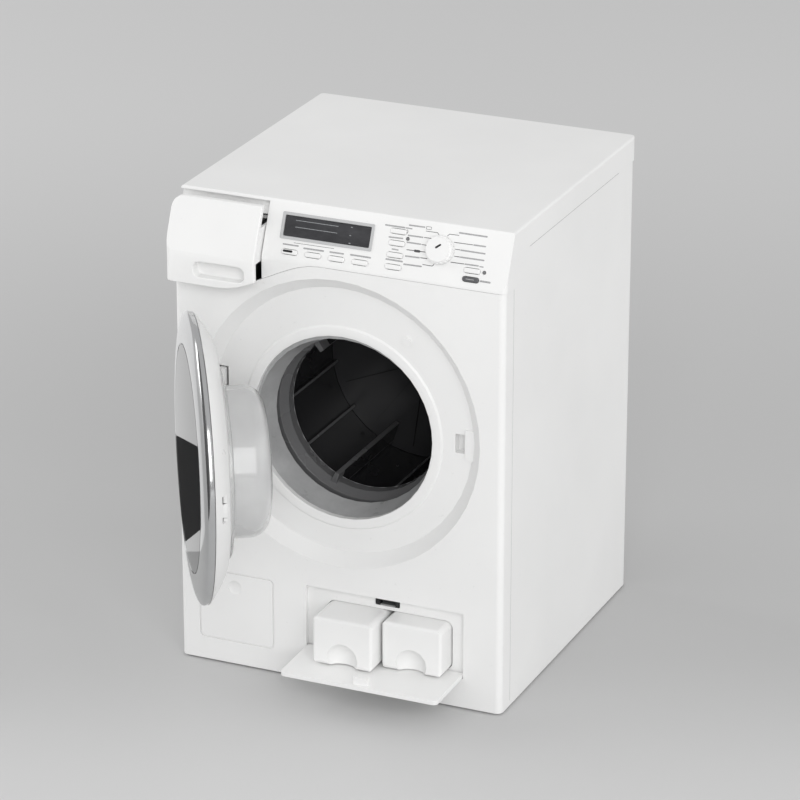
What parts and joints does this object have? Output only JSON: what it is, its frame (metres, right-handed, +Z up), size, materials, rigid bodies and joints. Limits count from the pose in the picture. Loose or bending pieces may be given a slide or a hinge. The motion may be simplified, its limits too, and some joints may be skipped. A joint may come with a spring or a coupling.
{
  "type": "toy washing machine",
  "caption": "Toy front-loading washing machine with porthole door, turning drum, detergent drawer, sloping control panel and a low flap with two pull-out boxes.",
  "frame": {"origin": "at the floor, below the middle of the box that the toy fills as shown, with its door open and its drawer and containers drawn out", "axes": "+Z up, the front faces -Y, +X to the right seen from the front"},
  "size_m": [0.184, 0.3098, 0.26],
  "materials": {
    "white_plastic": "satin white moulded plastic",
    "door_white": "satin white moulded plastic",
    "silver_plastic": "metallic silver lacquer on plastic",
    "smoke_glass": "polished dark window",
    "clear_plastic": "clear polished plastic",
    "grey_rubber": "soft matt grey",
    "smoke_plastic": "dark smoky plastic",
    "black_plastic": "matt black",
    "dark_grey_plastic": "dark grey satin",
    "grey_plastic": "plain grey moulding",
    "steel": "plated steel",
    "board": "green laminate",
    "gear_white": "natural acetal"
  },
  "bodies": {
    "cabinet": {"cabinet_shell": "white_plastic", "front_panel": "white_plastic", "top_cover": "white_plastic", "base_plate": "white_plastic", "battery_door": "white_plastic", "battery_box": "grey_plastic", "display_frame": "silver_plastic", "display_lens": "dark_grey_plastic", "circuit_board": "board", "gasket_ring": "grey_rubber", "tub": "grey_plastic", "hinge_bracket": "grey_plastic", "hinge_pin": "steel", "pocket_housing": "grey_plastic", "flap_latch": "black_plastic", "drawer_sleeve": "white_plastic", "motor_plate": "steel", "drive_motor": "steel", "option_lamp": "clear_plastic", "start_lamp": "clear_plastic", "battery_1": "steel", "battery_2": "steel", "case_screw_1": "steel", "case_screw_2": "steel", "case_screw_3": "steel", "case_screw_4": "steel", "foot_1": "grey_rubber", "foot_2": "grey_rubber", "foot_3": "grey_rubber", "foot_4": "grey_rubber"},
    "door": {"door_ring": "silver_plastic", "door_glass": "smoke_glass", "door_frame": "door_white", "door_bowl": "clear_plastic", "door_catch": "door_white", "hinge_arm_upper": "door_white", "hinge_arm_lower": "door_white"},
    "drawer": {"drawer_front": "white_plastic", "drawer_tray": "white_plastic"},
    "flap": {"service_flap": "white_plastic"},
    "left_box": {"container_left": "white_plastic"},
    "right_box": {"container_right": "white_plastic"},
    "drum": {"drum_shell": "smoke_plastic", "drum_back": "smoke_plastic", "drum_shaft": "steel", "drum_gear": "gear_white"},
    "pinion": {"motor_pinion": "gear_white"},
    "knob": {"programme_knob": "white_plastic"},
    "row_button_1": {"row_button_1": "white_plastic"},
    "row_button_2": {"row_button_2": "white_plastic"},
    "row_button_3": {"row_button_3": "white_plastic"},
    "row_button_4": {"row_button_4": "white_plastic"},
    "option_button_1": {"option_button_1": "white_plastic"},
    "option_button_2": {"option_button_2": "white_plastic"},
    "option_button_3": {"option_button_3": "white_plastic"},
    "option_button_4": {"option_button_4": "white_plastic"},
    "start_button": {"start_button": "white_plastic"},
    "power_button": {"power_button": "dark_grey_plastic"}
  },
  "joints": [
    {"name": "door_hinge", "type": "hinge", "parent": "cabinet", "child": "door", "pos_m": [-0.08, -0.0187, 0.1466], "axis": [0, 0, 1], "range_deg": [-18, 57.3]},
    {"name": "drawer_slide", "type": "slide", "parent": "cabinet", "child": "drawer", "axis": [0, -1, 0], "range_m": [-0.009, 0.03]},
    {"name": "flap_hinge", "type": "hinge", "parent": "cabinet", "child": "flap", "pos_m": [0.026, -0.0239, 0.0187], "axis": [1, 0, 0], "range_deg": [-0.9, 14]},
    {"name": "left_box_slide", "type": "slide", "parent": "cabinet", "child": "left_box", "axis": [0, -1, 0], "range_m": [-0.0221, 0.009]},
    {"name": "right_box_slide", "type": "slide", "parent": "cabinet", "child": "right_box", "axis": [0, -1, 0], "range_m": [-0.0136, 0.017]},
    {"name": "drum_spin", "type": "hinge", "parent": "cabinet", "child": "drum", "pos_m": [0, 0.0649, 0.1408], "axis": [0, 1, 0], "continuous": true},
    {"name": "pinion_spin", "type": "hinge", "parent": "cabinet", "child": "pinion", "pos_m": [0.02652, 0.1041, 0.16732], "axis": [0, 1, 0], "continuous": true},
    {"name": "knob_turn", "type": "hinge", "parent": "cabinet", "child": "knob", "pos_m": [0.05429, -0.01861, 0.24739], "axis": [0, -0.9205, 0.3907], "continuous": true},
    {"name": "row_button_1_press", "type": "slide", "parent": "cabinet", "child": "row_button_1", "axis": [0, 0.9205, -0.3907], "range_m": [0, 0.0006], "stiffness_N_per_m": 400, "springref_m": -0.0006},
    {"name": "row_button_2_press", "type": "slide", "parent": "cabinet", "child": "row_button_2", "axis": [0, 0.9205, -0.3907], "range_m": [0, 0.0006], "stiffness_N_per_m": 400, "springref_m": -0.0006},
    {"name": "row_button_3_press", "type": "slide", "parent": "cabinet", "child": "row_button_3", "axis": [0, 0.9205, -0.3907], "range_m": [0, 0.0006], "stiffness_N_per_m": 400, "springref_m": -0.0006},
    {"name": "row_button_4_press", "type": "slide", "parent": "cabinet", "child": "row_button_4", "axis": [0, 0.9205, -0.3907], "range_m": [0, 0.0006], "stiffness_N_per_m": 400, "springref_m": -0.0006},
    {"name": "option_button_1_press", "type": "slide", "parent": "cabinet", "child": "option_button_1", "axis": [0, 0.9205, -0.3907], "range_m": [0, 0.0006], "stiffness_N_per_m": 400, "springref_m": -0.0006},
    {"name": "option_button_2_press", "type": "slide", "parent": "cabinet", "child": "option_button_2", "axis": [0, 0.9205, -0.3907], "range_m": [0, 0.0006], "stiffness_N_per_m": 400, "springref_m": -0.0006},
    {"name": "option_button_3_press", "type": "slide", "parent": "cabinet", "child": "option_button_3", "axis": [0, 0.9205, -0.3907], "range_m": [0, 0.0006], "stiffness_N_per_m": 400, "springref_m": -0.0006},
    {"name": "option_button_4_press", "type": "slide", "parent": "cabinet", "child": "option_button_4", "axis": [0, 0.9205, -0.3907], "range_m": [0, 0.0006], "stiffness_N_per_m": 400, "springref_m": -0.0006},
    {"name": "start_button_press", "type": "slide", "parent": "cabinet", "child": "start_button", "axis": [0, 0.9205, -0.3907], "range_m": [0, 0.0006], "stiffness_N_per_m": 400, "springref_m": -0.0006},
    {"name": "power_button_press", "type": "slide", "parent": "cabinet", "child": "power_button", "axis": [0, 0.9205, -0.3907], "range_m": [0, 0.0006], "stiffness_N_per_m": 400, "springref_m": -0.0006}
  ],
  "couplings": [
    {"joint": "pinion_spin", "follows": "drum_spin", "ratio": -4}
  ]
}
